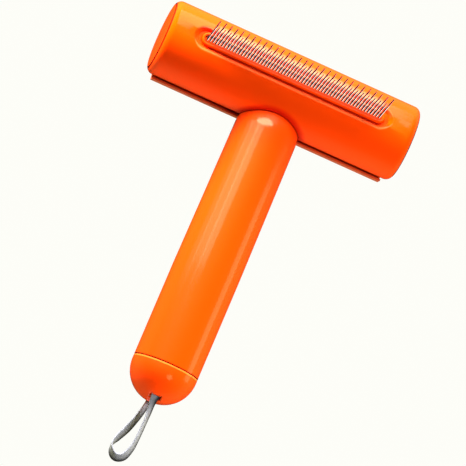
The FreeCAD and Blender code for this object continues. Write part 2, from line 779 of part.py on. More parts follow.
# ================================================================ rubber scraper
def rubber_scraper():
    back_y, back_z = 15.1, -11.2  # corners of the curved back
    back_rad = math.hypot(back_y, back_z)
    inner_rad = size.head_rad + 0.05
    lip_z, edge_z = -6.2, -6.0  # ends of the inner arc at -Y and +Y
    body = new_body("rubber_scraper")
    profile = sketch(body, "ScraperSection", "YZ_Plane")
    # y, z
    points = [
        (-17.10, -2.8),
        (-17.95, -2.8),
        (-17.78, -8.4),
        (-back_y, back_z),
        (back_y, back_z),
        (16.6, edge_z),
        (leg(inner_rad, edge_z), edge_z),
        (-leg(inner_rad, lip_z), lip_z),
        (-17.05, lip_z),
    ]
    outline(profile, points, {3: (0, 0, back_rad, True), 6: (0, 0, inner_rad, False)})
    pad(body, "ScraperBlock", profile, size.scraper_len, Midplane=True)

    # fine gripping ribs along the back
    profile = sketch(body, "RibSection", "YZ_Plane")
    for i in range(-4, 5):
        angle = math.radians(-90 + i * 11.0)
        circle(profile, back_rad * math.cos(angle), back_rad * math.sin(angle), 0.62)
    pad(body, "GripRibs", profile, size.scraper_len - 4, Midplane=True)

    # anchor rib with a barbed foot, pushed through the slot of the head shell
    profile = sketch(body, "AnchorSection", "YZ_Plane")
    # y, z
    points = [
        (-1.2, -17.2), (1.2, -17.2), (1.2, -13.6), (2.4, -13.5),
        (1.3, -12.2), (-1.3, -12.2), (-2.4, -13.5), (-1.2, -13.6),
    ]
    outline(profile, points)
    pad(body, "AnchorRib", profile, 75, Midplane=True)

    # slot in the foot for its steel stiffener
    profile = sketch(body, "StiffenerSlot", "YZ_Plane")
    rectangle(profile, 1.42, -13.24, -12.7)
    pocket(body, "StiffenerRoom", profile, 90, Midplane=True)

    # round notch for the handle
    dome_groove(body, "NotchProfile", "HandleNotch", size.dome_rad + 0.55)
    return body


def scraper_stiffener():
    length, wide = 74.6, 2.8
    strip = box("ScraperStiffener", length, wide, 0.5, -length / 2, -wide / 2, -13.22)
    notch = dome_ball("StiffenerNotch", size.dome_rad + 0.9)
    return cut("ScraperStiffenerCut", strip, notch)


# ================================================================ wrist ribbon and crimp
# Middle line of the ribbon outside the tunnel: x, y, z from the head axis, then the
# direction of the ribbon's thickness there.
RIBBON_LOOP = [
    (0.3, -147.6, 3.6, 0.1, -0.45, 1),
    (0.8, -152.6, 2.6, 0.35, -0.2, 1),
    (1.2, -158.0, 2.2, 0.7, -0.1, 0.75),
    (1.3, -164.0, 2.0, 0.88, -0.05, 0.5),
    (0.5, -168.8, 1.7, 0.75, -0.5, 0.5),
    (-2.5, -171.3, 1.3, 0.0, -0.65, 0.75),
    (-5.7, -169.3, 0.8, -0.7, -0.5, 0.5),
    (-6.9, -164.8, 0.0, -0.9, 0.0, 0.35),
    (-5.1, -158.4, -1.4, -0.9, 0.2, -0.15),
    (-2.6, -152.6, -2.6, -0.6, 0.2, -0.8),
    (-0.5, -147.6, -3.6, -0.15, -0.35, -1),
]
TUNNEL_ANGLES = range(6, 127, 20)  # ribbon stations in the tunnel, degrees from +Y


def tunnel_station(degrees):
    """Centre and thickness direction of the ribbon at an angle round the tunnel."""
    angle = math.radians(degrees)
    normal = Vector(0, math.cos(angle), math.sin(angle))
    return (Vector(0, size.eye_y.value, 0) + normal * size.eye_rad.value, normal)


def between(p0, p1, p2, p3, u):
    """Point at fraction u of the smooth (Catmull-Rom) curve from p1 to p2."""
    square = p0 * 2 - p1 * 5 + p2 * 4 - p3
    cube = p1 * 3 - p0 - p2 * 3 + p3
    return (p1 * 2 + (p2 - p0) * u + square * u ** 2 + cube * u ** 3) * 0.5


def ribbon_section(centre, normal, along):
    """Flat section across the direction along, thin in the direction normal."""
    along = along.normalize()
    normal = normal - along * normal.dot(along)
    normal.normalize()
    edge = along.cross(normal) * (size.ribbon_wide.value / 2)
    face = normal * (size.ribbon_thick.value / 2)
    corners = [
        centre + face + edge,
        centre - face + edge,
        centre - face - edge,
        centre + face - edge,
    ]
    return Part.makePolygon(corners + [corners[0]])


def wrist_ribbon():
    """Twisted band through the tunnel and round the loop, its ends meeting in the crimp."""
    guide = [tunnel_station(degrees) for degrees in TUNNEL_ANGLES]
    guide += [(Vector(*row[:3]), Vector(*row[3:])) for row in RIBBON_LOOP]
    guide += [tunnel_station(-degrees) for degrees in reversed(TUNNEL_ANGLES)]
    last = len(guide) - 1
    path = []
    for i in range(last):
        near = [guide[max(0, min(last, i + k))] for k in (-1, 0, 1, 2)]
        centres, normals = zip(*near)
        for u in (0, 1 / 3, 2 / 3):
            path.append((between(*centres, u), between(*normals, u)))
    path.append(guide[-1])
    sections = []
    for i, (centre, normal) in enumerate(path):
        along = path[min(i + 1, len(path) - 1)][0] - path[max(i - 1, 0)][0]
        sections.append(ribbon_section(centre, normal, along))
    # a solid, smooth, open-ended loft
    return fixed_shape("WristRibbon", Part.makeLoft(sections, True, False, False))


def ribbon_crimp():
    """Flat metal sleeve bent to the tunnel."""
    half_wide = size.ribbon_wide / 2
    half_thick = size.ribbon_thick / 2
    body = new_body("ribbon_crimp")
    profile = sketch(body, "CrimpSection")
    # outer and inner outline: gap beside the ribbon, gap over its faces
    for side_gap, face_gap in ((0.32, 0.47), (0.05, 0.09)):
        reach = half_thick + face_gap
        rectangle(profile, half_wide + side_gap, tunnel_mid - reach, tunnel_mid + reach)
    tunnel_axis(profile)
    turn(body, "Revolution", "CrimpSleeve", profile, "Axis0", Angle=26.0, Midplane=True)
    return body


# ================================================================ build and write
pieces = {
    "head_shell": head_shell(),
    "end_lid_left": end_lid("end_lid_left", -1),
    "end_lid_right": end_lid("end_lid_right", 1),
    "comb_base": comb_base(),
    "comb_pins_long": comb_pins("comb_pins_long", 0, size.pin_long),
    "comb_pins_short": comb_pins("comb_pins_short", 1, size.pin_short),
    "comb_backing_strip": comb_backing_strip(),
    "head_core": head_core(),
    "comb_screws": comb_screws(),
    "handle_shell": handle_shell(),
    "handle_end_cap": handle_end_cap(),
    "cap_seal_ring": cap_seal_ring(),
    "bolt_washer": bolt_washer(),
    "bolt_spring_washer": bolt_spring_washer(),
    "handle_bolt": handle_bolt(),
    "threaded_insert": threaded_insert(),
    "rubber_scraper": rubber_scraper(),
    "scraper_stiffener": scraper_stiffener(),
    "wrist_ribbon": wrist_ribbon(),
    "ribbon_crimp": ribbon_crimp(),
}
for label, obj in pieces.items():
    obj.Label = label

doc.recompute()
for obj in doc.Objects:
    if any(word in state for state in obj.State for word in ("Invalid", "Error")):
        raise RuntimeError("%s did not recompute" % obj.Name)
os.makedirs("parts", exist_ok=True)
for label, obj in pieces.items():
    shape = obj.Shape
    if shape.isNull() or not shape.isValid() or not shape.Solids:
        raise RuntimeError("%s has no valid solid" % label)
    shape.exportStep("parts/%s.step" % label)
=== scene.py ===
# A hand tool lying flat: the round head runs along X with a lid at each end and a comb of steel
# pins standing towards +Z, the grip runs from it towards -Y, and a woven ribbon loops through
# the grip's end cap. The floor lies below in Z and the camera looks down from +Z.
# Units are metres, with MM for sizes given in millimetres.
import json
import math

import bmesh
import bpy
import numpy as np
from mathutils import Matrix, Vector


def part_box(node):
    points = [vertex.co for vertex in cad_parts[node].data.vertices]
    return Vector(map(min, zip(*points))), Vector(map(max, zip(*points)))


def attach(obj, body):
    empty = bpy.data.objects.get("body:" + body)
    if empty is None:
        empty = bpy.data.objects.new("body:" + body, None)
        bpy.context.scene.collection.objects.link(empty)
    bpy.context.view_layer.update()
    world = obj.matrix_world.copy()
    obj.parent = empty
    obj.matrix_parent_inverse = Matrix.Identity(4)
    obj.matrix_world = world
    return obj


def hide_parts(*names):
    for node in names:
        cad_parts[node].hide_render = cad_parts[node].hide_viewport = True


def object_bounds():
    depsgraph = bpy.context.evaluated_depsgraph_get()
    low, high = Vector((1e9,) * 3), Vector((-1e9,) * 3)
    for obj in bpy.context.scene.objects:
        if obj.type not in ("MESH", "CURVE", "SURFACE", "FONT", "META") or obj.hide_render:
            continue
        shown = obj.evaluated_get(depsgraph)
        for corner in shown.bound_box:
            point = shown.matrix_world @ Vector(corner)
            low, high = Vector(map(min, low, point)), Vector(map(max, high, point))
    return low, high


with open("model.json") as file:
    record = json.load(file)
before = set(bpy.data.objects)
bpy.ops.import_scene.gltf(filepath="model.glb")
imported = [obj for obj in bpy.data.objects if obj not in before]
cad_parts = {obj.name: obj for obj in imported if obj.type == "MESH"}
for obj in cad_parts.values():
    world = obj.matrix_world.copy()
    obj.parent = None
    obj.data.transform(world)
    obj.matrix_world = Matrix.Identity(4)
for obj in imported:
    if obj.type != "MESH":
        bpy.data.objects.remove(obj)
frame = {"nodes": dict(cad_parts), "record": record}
cad_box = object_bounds()
nodes = frame["nodes"]

MM = 0.001
shell_low, shell_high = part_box("head_shell")
lid_low, lid_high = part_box("end_lid_left")
HEAD = (shell_low + shell_high) / 2
HEAD_RADIUS = (shell_high.y - shell_low.y) / 2
LID_RADIUS = (lid_high.y - lid_low.y) / 2
SEAM_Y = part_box("handle_shell")[0].y  # where the end cap meets the grip
EYE = Vector((0.0, -0.0335, 0.0))  # centre of the ribbon's tunnel

# comb base
COMB_TILT = math.radians(13.5)  # about X, from +Z towards +Y
COMB_HALF_LENGTH = 0.04015  # to the centre of its round end
GROOVE_FLOOR = 0.0041  # distances out from the comb's centre line
GROOVE_RIM = 0.0050
GROOVE_EDGE = 0.0059

# domed end of the grip, standing in the head
DOME_DROP = 0.0205  # from the head's axis towards -Y
DOME_REACH = 0.01412
DOME_SHADE = 0.004  # width of the shade round it

LID_LINE_GAP = 0.00016
LID_LINE_X = 0.0569
CAP_LIP_DROP = 0.00062


# ------------------------------------------------------------------ node helpers
def rgba(tone):
    """An opaque colour from a grey level or three channels; a socket passes through."""
    if isinstance(tone, bpy.types.NodeSocket):
        return tone
    if isinstance(tone, (int, float)):
        tone = (tone, tone, tone)
    return (*tone, 1.0)


def scaled(color, factor):
    return tuple(channel * factor for channel in color)


class Shader:
    """Node tree of a material or world. Inputs take either a value or an output socket."""

    def __init__(self, block, output="OutputMaterial"):
        self.block = block
        block.use_nodes = True
        self.tree = block.node_tree
        self.tree.nodes.clear()
        self.output = self.node(output)

    def node(self, kind, inputs=None, **settings):
        node = self.tree.nodes.new("ShaderNode" + kind)
        for key, value in settings.items():
            setattr(node, key, value)
        for key, value in (inputs or {}).items():
            self.feed(node, key, value)
        return node

    def feed(self, node, key, value):
        if isinstance(value, bpy.types.NodeSocket):
            self.tree.links.new(value, node.inputs[key])
        else:
            node.inputs[key].default_value = value

    def surface(self, node):
        self.feed(self.output, "Surface", node.outputs[0])

    # each helper below hands back an output socket
    def position(self):
        return self.node("TexCoord").outputs["Object"]

    def split(self, vector):
        outputs = self.node("SeparateXYZ", {"Vector": vector}).outputs
        return [outputs[axis] for axis in "XYZ"]

    def stretch(self, vector, scale):
        return self.node("Mapping", {"Scale": scale, "Vector": vector}).outputs["Vector"]

    def calc(self, operation, *values):
        return self.node("Math", dict(enumerate(values)), operation=operation).outputs["Value"]

    def noise(self, vector, scale, detail, roughness):
        inputs = {"Scale": scale, "Detail": detail, "Roughness": roughness, "Vector": vector}
        return self.node("TexNoise", inputs).outputs["Fac"]

    def ramp(self, source, *stops):
        """Colour ramp; each stop is (position, grey level or colour)."""
        node = self.node("ValToRGB", {"Fac": source})
        elements = node.color_ramp.elements
        while len(elements) > 1:
            elements.remove(elements[-1])
        elements[0].position, elements[0].color = stops[0][0], rgba(stops[0][1])
        for place, tone in stops[1:]:
            elements.new(place).color = rgba(tone)
        return node.outputs["Color"]

    def mix(self, factor, under, over, blend="MIX"):
        inputs = {"Factor": factor, "A": rgba(under), "B": rgba(over)}
        node = self.node("Mix", data_type="RGBA", blend_type=blend)
        for key, value in inputs.items():
            self.feed(node, key, value)
        return node.outputs["Result"]

    def map_range(self, value, source, target=(0.0, 1.0), curve="SMOOTHSTEP"):
        inputs = {"Value": value, "From Min": source[0], "From Max": source[1]}
        inputs.update({"To Min": target[0], "To Max": target[1]})
        return self.node("MapRange", inputs, interpolation_type=curve).outputs["Result"]

    def bevel(self, radius, samples):
        return self.node("Bevel", {"Radius": radius}, samples=samples).outputs["Normal"]

    def bump(self, height, strength, distance, normal=None):
        inputs = {"Strength": strength, "Distance": distance, "Height": height}
        if normal:
            inputs["Normal"] = normal
        return self.node("Bump", inputs).outputs["Normal"]

    def principled(self, inputs):
        node = self.node("BsdfPrincipled", inputs)
        self.surface(node)
        return node


# ------------------------------------------------------------------ painted shade and highlights on the orange plastic
def comb_groove(shader, position):
    """The shallow, soft-edged groove moulded round the comb base.

    Returns its height (0 in it, 1 outside), the offset across the comb and the distance from
    the comb's centre line, which is pushed out of reach behind the comb."""
    calc = shader.calc
    x, y, z = shader.split(position)
    cosine, sine = math.cos(COMB_TILT), math.sin(COMB_TILT)
    y = calc("SUBTRACT", y, HEAD.y)
    across = calc("SUBTRACT", calc("MULTIPLY", y, cosine), calc("MULTIPLY", z, sine))
    outward = calc("ADD", calc("MULTIPLY", y, sine), calc("MULTIPLY", z, cosine))
    beyond = calc("SUBTRACT", calc("ABSOLUTE", x), COMB_HALF_LENGTH)
    beyond = calc("MAXIMUM", beyond, 0.0)
    squares = calc("ADD", calc("MULTIPLY", beyond, beyond), calc("MULTIPLY", across, across))
    distance = calc("SQRT", squares)
    height = shader.map_range(distance, (GROOVE_FLOOR, GROOVE_EDGE))
    behind = calc("LESS_THAN", outward, 0.0)
    return calc("MAXIMUM", height, behind), across, calc("ADD", distance, behind)


def painted_seam_light(shader, position, color, comb_offset, groove_distance):
    """Paints light and shade where the moulded pieces meet: painted shade round each lid, in the
    seam at the end cap, in the comb groove and where the grip stands in the head, painted
    highlights on the groove's lip and below the cap seam, and a painted reflection of the pins
    behind the comb. Each is found from object coordinates."""
    calc = shader.calc
    x, y, z = shader.split(position)

    def near(value, centre, full, gone):
        """Mask: 1 within `full` mm of the centre, fading to 0 at `gone` mm."""
        gap = calc("ABSOLUTE", calc("SUBTRACT", value, centre))
        return shader.map_range(gap, (full * MM, gone * MM), (1.0, 0.0))

    def both(first, second):
        return calc("MULTIPLY", first, second)

    from_axis = calc("SUBTRACT", y, HEAD.y)
    radius = calc("SQRT", calc("ADD", both(from_axis, from_axis), both(z, z)))
    side = calc("ABSOLUTE", x)

    # shade on the head's surface, close to the domed end of the grip
    from_dome = calc("SUBTRACT", y, HEAD.y - DOME_DROP)
    squares = calc("ADD", both(from_dome, from_dome), calc("ADD", both(x, x), both(z, z)))
    reach = calc("SUBTRACT", calc("SQRT", squares), DOME_REACH)
    shade = shader.ramp(
        calc("MULTIPLY", reach, 1 / DOME_SHADE),
        (0.0, (0.55, 0.07, 0.0)),
        (0.25, (0.66, 0.14, 0.0)),
        (0.45, (0.80, 0.36, 0.05)),
        (0.70, (0.97, 0.80, 0.5)),
        (0.85, 1.0),
    )
    on_head = near(radius, HEAD_RADIUS, full=0.12, gone=0.25)
    color = shader.mix(on_head, color, shade, "MULTIPLY")

    # comb groove: painted shade on its wall, a painted highlight along its rolled lip
    wall = both(near(groove_distance, GROOVE_FLOOR, full=0.15, gone=0.75), on_head)
    color = shader.mix(wall, color, (0.80, 0.35, 0.1), "MULTIPLY")
    rim = both(near(groove_distance, GROOVE_RIM, full=0.10, gone=0.70), on_head)
    color = shader.mix(calc("MULTIPLY", rim, 0.75), color, (0.99, 0.16, 0.035))

    # light thrown back by the bright pins on the plastic behind them
    painted_glow = both(
        near(comb_offset, 0.0038, full=2.2, gone=5.6),
        near(x, 0.0012, full=36.6, gone=39.4),
    )
    painted_glow = both(painted_glow, near(groove_distance, 0.0, full=20.0, gone=30.0))
    color = shader.mix(calc("MULTIPLY", painted_glow, 0.60), color, (1.0, 0.23, 0.11))

    # painted shade in the gap round each lid, a dark line
    lid = both(
        near(radius, LID_RADIUS + LID_LINE_GAP, full=0.35, gone=0.75),
        near(side, LID_LINE_X, full=1.2, gone=1.8),
    )
    color = shader.mix(lid, color, (0.20, 0.02, 0.0), "MULTIPLY")

    # end cap: painted shade in the seam as a dark line, with a painted highlight along the lip on
    # its -Y side
    lip = near(y, SEAM_Y - CAP_LIP_DROP, full=0.12, gone=0.42)
    color = shader.mix(lip, color, (0.99, 0.17, 0.02))
    seam = near(y, SEAM_Y, full=0.16, gone=0.34)
    return shader.mix(seam, color, (0.16, 0.01, 0.0), "MULTIPLY")


# ------------------------------------------------------------------ materials
def plastic(name, base, deep, roughness, coat, fitted=False):
    """Injection-moulded, dyed-through plastic with a satin gloss: faint flow marks, fine
    orange-peel, tiny scuffs in the gloss, edges made slightly lighter by a painted highlight and
    painted shade in seams and corners."""
    shader = Shader(bpy.data.materials.new(name))
    geometry = shader.node("NewGeometry")
    position = shader.position()

    # dye variation, large and slow
    flow = shader.noise(position, scale=18.0, detail=3.0, roughness=0.55)
    color = shader.mix(shader.ramp(flow, (0.25, 0.55), (0.75, 1.0)), deep, base)

    # painted highlight on the edges: a bevelled normal differs from the true one only at an edge
    rounded = shader.bevel(radius=0.9 * MM, samples=12)
    normals = {0: rounded, 1: geometry.outputs["Normal"]}
    agreement = shader.node("VectorMath", normals, operation="DOT_PRODUCT").outputs["Value"]
    edge = shader.ramp(agreement, (0.86, 1.0), (0.995, 0.0))
    edge_highlight = (base[0] * 1.03, base[1] * 1.6, base[2] * 2)
    color = shader.mix(shader.calc("MULTIPLY", edge, 0.35), color, edge_highlight)

    # painted shade in seams and corners, darker where the ambient occlusion is low
    openness = shader.node("AmbientOcclusion", {"Distance": 1.6 * MM}, samples=8).outputs["AO"]
    shade = shader.ramp(openness, (0.10, (0.55, 0.10, 0.05)), (0.62, 1.0))
    color = shader.mix(1.0, color, shade, "MULTIPLY")

    under = rounded
    if fitted:
        groove, comb_offset, groove_distance = comb_groove(shader, position)
        color = painted_seam_light(shader, position, color, comb_offset, groove_distance)
        under = shader.bump(groove, strength=1.0, distance=0.9 * MM, normal=rounded)

    # gloss scuffs, then orange peel with a very fine grain
    scuff = shader.noise(position, scale=420.0, detail=4.0, roughness=0.7)
    peel = shader.noise(position, scale=260.0, detail=1.0, roughness=0.4)
    fine = shader.noise(position, scale=2600.0, detail=2.0, roughness=0.5)
    relief = shader.calc("ADD", peel, shader.calc("MULTIPLY", fine, 0.30))
    shader.principled({
        "Base Color": color,
        "Roughness": shader.ramp(scuff, (0.42, roughness), (0.72, roughness + 0.10)),
        "Normal": shader.bump(relief, strength=0.05, distance=0.35 * MM, normal=under),
        "IOR": 1.5,
        "Coat Weight": coat,
        "Coat Roughness": 0.13,
        "Specular IOR Level": 0.12,
        "Coat IOR": 1.45,
    })
    return shader.block


def metal(name, color, roughness):
    """Plain metal with a fine grain and a slow change of tone."""
    shader = Shader(bpy.data.materials.new(name))
    position = shader.position()
    spread = shader.stretch(position, scale=(1, 1, 1))
    grain = shader.noise(spread, scale=900.0, detail=4.0, roughness=0.6)
    cloud = shader.noise(position, scale=60.0, detail=2.0, roughness=0.5)
    surface = shader.principled({
        "Metallic": 1.0,
        "Base Color": rgba(color),
        "Roughness": shader.ramp(grain, (0.3, roughness * 0.75), (0.75, roughness * 1.4)),
        "Normal": shader.bump(grain, strength=0.12, distance=0.04 * MM),
    })
    # the plain colour stays on the input beneath the varied one
    varied = shader.ramp(cloud, (0.3, scaled(color, 0.86)), (0.7, color))
    shader.feed(surface, "Base Color", varied)
    return shader.block


def rubber(name, base, roughness, sheen):
    """Matt rubber, softly clouded, with a fine grain."""
    shader = Shader(bpy.data.materials.new(name))
    position = shader.position()
    cloud = shader.noise(position, scale=90.0, detail=4.0, roughness=0.6)
    fine = shader.noise(position, scale=1900.0, detail=3.0, roughness=0.6)
    rounded = shader.bevel(radius=0.2 * MM, samples=8)
    shader.principled({
        "Base Color": shader.ramp(cloud, (0.3, scaled(base, 0.80)), (0.7, base)),
        "Roughness": shader.ramp(cloud, (0.3, roughness), (0.75, roughness + 0.14)),
        "Normal": shader.bump(fine, strength=0.16, distance=0.05 * MM, normal=rounded),
        "Sheen Weight": sheen,
        "Sheen Roughness": 0.4,
    })
    return shader.block


def pin_steel(name):
    """Polished wire with painted light: the flank towards -X is painted mirror-dark and the flank
    towards +X glows as a painted highlight, as a chromed pin shows in a studio with one side
    dark, with fine drawing marks along the wire."""
    shader = Shader(bpy.data.materials.new(name))
    calc = shader.calc
    facing_x = shader.split(shader.node("NewGeometry").outputs["Normal"])[0]
    position = shader.position()
    along_wire = shader.stretch(position, scale=(1, 1, 0.05))
    marks = shader.noise(along_wire, scale=2200.0, detail=3.0, roughness=0.6)

    # position across the wire: 0 faces -X, 1 faces +X, unsettled a little by the marks
    facing_x = calc("ADD", facing_x, calc("MULTIPLY", marks, 0.16))
    across = calc("ADD", calc("MULTIPLY", facing_x, 0.5), 0.5)
    # painted shade and light: the -X flank is coloured near black, the +X flank lighter
    tone = shader.ramp(
        across,
        (0.0, 0.06), (0.10, 0.010), (0.57, 0.004), (0.62, 0.18),
        (0.84, 0.22), (0.91, 0.03), (1.0, 0.05),
    )
    # painted highlight: the +X flank glows, though no lamp lights it
    painted_glow = shader.ramp(
        across,
        (0.0, 0.0),
        (0.57, 0.0),
        (0.62, (0.80, 0.78, 0.74)),
        (0.84, (1.0, 0.98, 0.93)),
        (0.91, (0.12, 0.12, 0.11)),
        (1.0, (0.20, 0.20, 0.19)),
    )
    shine = shader.ramp(across, (0.0, 0.0), (0.56, 0.0), (0.66, 0.10))
    roughness = shader.ramp(marks, (0.3, 0.22), (0.75, 0.34))

    # the painted glow dies away towards the tips
    height = shader.split(position)[2]
    strength = shader.map_range(height, (0.0285, 0.0310), (1.0, 0.12), curve="LINEAR")

    body = shader.node("BsdfDiffuse", {"Color": tone})
    gloss = shader.node("BsdfGlossy", {"Color": shine, "Roughness": roughness})
    light = shader.node("Emission", {"Color": painted_glow, "Strength": strength})
    layers = shader.node("AddShader", {0: body.outputs[0], 1: gloss.outputs[0]})
    shader.surface(shader.node("AddShader", {0: layers.outputs[0], 1: light.outputs[0]}))
    shader.block.cycles.emission_sampling = "NONE"
    return shader.block


LOOKS = {
    "orange_plastic": (plastic, dict(
        base=(0.95, 0.052, 0.0), deep=(0.92, 0.046, 0.0), roughness=0.45, coat=1.0, fitted=True)),
    "grey_plastic": (plastic, dict(
        base=(0.10, 0.105, 0.11), deep=(0.075, 0.08, 0.085), roughness=0.5, coat=0.0)),
    "polished_steel": (pin_steel, {}),
    "plated_steel": (metal, dict(color=(0.62, 0.63, 0.65), roughness=0.32)),
    "insert_brass": (metal, dict(color=(0.78, 0.56, 0.22), roughness=0.28)),
    "orange_rubber": (rubber, dict(base=(0.50, 0.05, 0.010), roughness=0.50, sheen=0.06)),
    "black_rubber": (rubber, dict(base=(0.012, 0.012, 0.013), roughness=0.5, sheen=0.1)),
}
materials = {slot: build(slot, **look) for slot, (build, look) in LOOKS.items()}
slot_of = {part["node"]: part["material_slot"] for part in frame["record"]["subparts"]}


def dress(piece, material, crease=math.radians(32.0)):
    """Gives a CAD piece its material and smooth shading with crisp true edges."""
    mesh = piece.data
    mesh.materials.clear()
    mesh.materials.append(material)
    if mesh.has_custom_normals:
        with bpy.context.temp_override(
            object=piece, active_object=piece, selected_objects=[piece]
        ):
            bpy.ops.mesh.customdata_custom_splitnormals_clear()
    count = len(mesh.polygons)
    mesh.polygons.foreach_set("use_smooth", np.ones(count, bool))
    mesh.polygons.foreach_set("material_index", np.zeros(count, np.int32))
    piece.modifiers.new("weld", "WELD").merge_threshold = 1e-6
    piece.modifiers.new("edges", "EDGE_SPLIT").split_angle = crease
    mesh.update()


for name, piece in nodes.items():
    slot = slot_of.get(name, "orange_plastic")
    if slot in materials:
        dress(piece, materials[slot])

# ------------------------------------------------------------------ woven wrist ribbon
# sizes in mm
BAND_WIDTH = 4.2
BAND_THICKNESS = 0.95
SECTION_POINTS = 28
STEPS_PER_STATION = 14
TUNNEL_RADIUS = 7.2
TUNNEL_ANGLES = range(0, 127, 14)  # degrees from +Y, for each half of the tunnel
INNER_SHIFT = 2.0  # added to the inner face's U, to tell it from the outer face

# hanging loop: centre line in mm about the tunnel centre, then the face direction
LOOP_STATIONS = (
    ((0.39, -7.85, 3.70), (0.62, -0.40, 0.75)),
    ((0.68, -11.68, 2.90), (0.88, -0.20, 0.46)),
    ((0.67, -16.85, 2.20), (0.89, -0.10, 0.45)),
    ((0.48, -22.09, 2.00), (0.86, -0.15, 0.48)),
    ((-0.09, -26.22, 1.90), (0.72, -0.42, 0.58)),
    ((-1.81, -30.39, 1.60), (0.32, -0.66, 0.70)),
    ((-4.58, -31.80, 1.30), (-0.20, -0.68, 0.70)),
    ((-6.99, -30.57, 1.00), (-0.66, -0.60, 0.45)),
    ((-8.26, -27.37, 0.70), (-0.98, -0.12, -0.15)),
    ((-6.78, -23.36, 0.20), (-0.80, 0.10, -0.60)),
    ((-4.49, -18.39, -0.50), (-0.70, 0.15, -0.70)),
    ((-2.63, -13.02, -1.30), (-0.74, 0.12, -0.66)),
    ((-1.31, -8.24, -2.60), (-0.60, -0.10, -0.80)),
)


def catmull(points, u):
    """Catmull-Rom curve between the middle two of four points."""
    a, b, c, d = points
    return (
        b * 2 + (c - a) * u + (a * 2 - b * 5 + c * 4 - d) * u**2 + (b * 3 - a - c * 3 + d) * u**3
    ) * 0.5


def tunnel_station(degrees):
    angle = math.radians(degrees)
    facing = Vector((0, math.cos(angle), math.sin(angle)))
    return facing * TUNNEL_RADIUS, facing


def ribbon_path():
    """Finely spaced (centre, face direction) pairs along the band."""
    stations = [tunnel_station(angle) for angle in TUNNEL_ANGLES]
    stations += [(Vector(centre), Vector(facing)) for centre, facing in LOOP_STATIONS]
    stations += [tunnel_station(-angle) for angle in reversed(TUNNEL_ANGLES)]
    last = len(stations) - 1
    path = []
    for i in range(last):
        around = [stations[max(0, min(last, i + k))] for k in (-1, 0, 1, 2)]
        for step in range(STEPS_PER_STATION):
            u = step / STEPS_PER_STATION
            path.append(tuple(catmull(values, u) for values in zip(*around)))
    path.append(stations[-1])
    return path


def ribbon_section():
    """Flat band with rounded, slightly thicker selvedges, as (across, through) in mm."""
    section = []
    for j in range(SECTION_POINTS):
        angle = 2 * math.pi * j / SECTION_POINTS
        cosine, sine = math.cos(angle), math.sin(angle)
        x = math.copysign(abs(cosine) ** 0.42, cosine) * BAND_WIDTH / 2
        z = math.copysign(abs(sine) ** 0.75, sine) * BAND_THICKNESS / 2
        z *= 0.86 + 0.14 * min(1.0, (abs(x) / (BAND_WIDTH / 2)) ** 3)
        section.append((x, z))
    return section


def make_ribbon(name):
    path = ribbon_path()
    section = ribbon_section()
    bm = bmesh.new()
    uv = bm.loops.layers.uv.new("band")
    rows = []
    lengths = []
    length = 0.0
    for i, (centre, facing) in enumerate(path):
        along = path[min(i + 1, len(path) - 1)][0] - path[max(i - 1, 0)][0]
        along.normalize()
        facing = (facing - along * facing.dot(along)).normalized()
        side = along.cross(facing)
        if i:
            length += (centre - path[i - 1][0]).length
        lengths.append(length)
        # the band gathers, narrower and thicker, about 6.5 mm below the tunnel centre in Y
        fold = 0.34 * math.exp(-(((centre.y + 6.5) / 4.2) ** 2))
        rows.append([
            bm.verts.new(
                EYE + (centre + side * x * (1 - fold) + facing * z * (1 + 0.4 * fold)) * MM
            )
            for x, z in section
        ])
    for i in range(len(rows) - 1):
        for j in range(SECTION_POINTS):
            k = (j + 1) % SECTION_POINTS
            face = bm.faces.new((rows[i][j], rows[i][k], rows[i + 1][k], rows[i + 1][j]))
            face.smooth = True
            shift = INNER_SHIFT if section[j][1] + section[k][1] < 0 else 0.0
            for loop, (row, point) in zip(face.loops, ((i, j), (i, k), (i + 1, k), (i + 1, j))):
                across = section[point][0] / BAND_WIDTH + 0.5
                loop[uv].uv = (across + shift, lengths[row] / BAND_WIDTH)
    bm.faces.new(list(reversed(rows[0])))
    bm.faces.new(rows[-1])
    bmesh.ops.recalc_face_normals(bm, faces=bm.faces)
    mesh = bpy.data.meshes.new(name)
    bm.to_mesh(mesh)
    bm.free()
    band = bpy.data.objects.new(name, mesh)
    bpy.context.scene.collection.objects.link(band)
    return band


